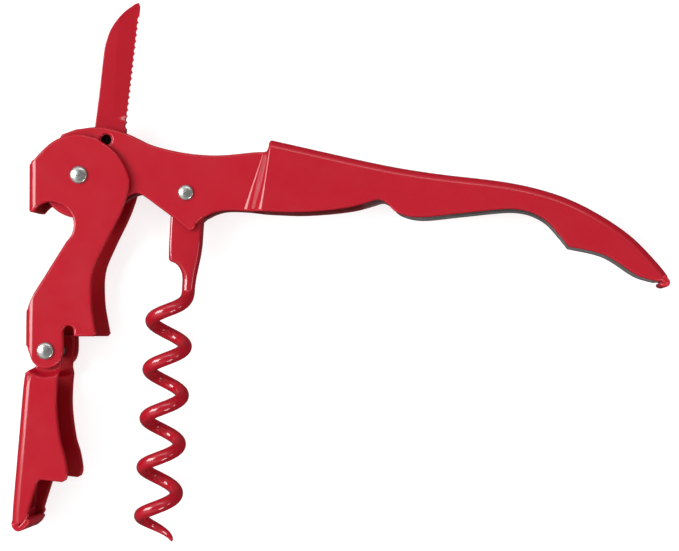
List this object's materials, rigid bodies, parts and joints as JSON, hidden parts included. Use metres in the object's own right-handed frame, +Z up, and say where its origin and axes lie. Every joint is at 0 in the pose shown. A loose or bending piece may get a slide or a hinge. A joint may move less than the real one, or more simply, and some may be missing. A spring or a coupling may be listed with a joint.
{
  "type": "waiters corkscrew",
  "caption": "Folding waiter's corkscrew: channel handle, hinged lever with bottle steps and cap hook, helical worm and serrated foil-cutter blade, swung out for use.",
  "frame": {"origin": "middle of the footprint on the surface that the corkscrew lies on, lever, worm and blade swung out", "axes": "+X along the handle towards its tail, +Y towards the handle's back and the blade's tip, +Z up, along every rivet"},
  "size_m": [0.1222, 0.1025, 0.014],
  "materials": {
    "red_paint": "smooth gloss",
    "red_coated_steel": "satin gloss",
    "bright_steel": "polished",
    "plain_steel": "plain"
  },
  "bodies": {
    "handle": {"handle": "red_paint", "main_rivet": "bright_steel", "worm_rivet": "bright_steel", "blade_rivet": "red_paint", "main_spacer": "plain_steel", "blade_washer_front": "plain_steel", "blade_washer_rear": "plain_steel"},
    "first_lever": {"first_lever": "red_paint", "lever_rivet": "bright_steel"},
    "second_lever": {"second_lever": "red_paint"},
    "worm": {"worm": "red_coated_steel"},
    "blade": {"blade": "red_coated_steel"}
  },
  "joints": [
    {"name": "lever_fold", "type": "hinge", "parent": "handle", "child": "first_lever", "pos_m": [-0.0487, 0.0181, 0.007], "axis": [0, 0, 1], "range_deg": [-45, 81]},
    {"name": "second_lever_fold", "type": "hinge", "parent": "first_lever", "child": "second_lever", "pos_m": [-0.0545, -0.015, 0.007], "axis": [0, 0, 1], "range_deg": [-55, 8]},
    {"name": "worm_fold", "type": "hinge", "parent": "handle", "child": "worm", "pos_m": [-0.0285, 0.0147, 0.007], "axis": [0, 0, 1], "range_deg": [-50.2, 90.4]},
    {"name": "blade_fold", "type": "hinge", "parent": "handle", "child": "blade", "pos_m": [-0.0439, 0.0249, 0.007], "axis": [0, 0, 1], "range_deg": [-92, 0]}
  ],
  "couplings": [
    {"joint": "worm_fold", "follows": "lever_fold", "ratio": 1.115}
  ]
}
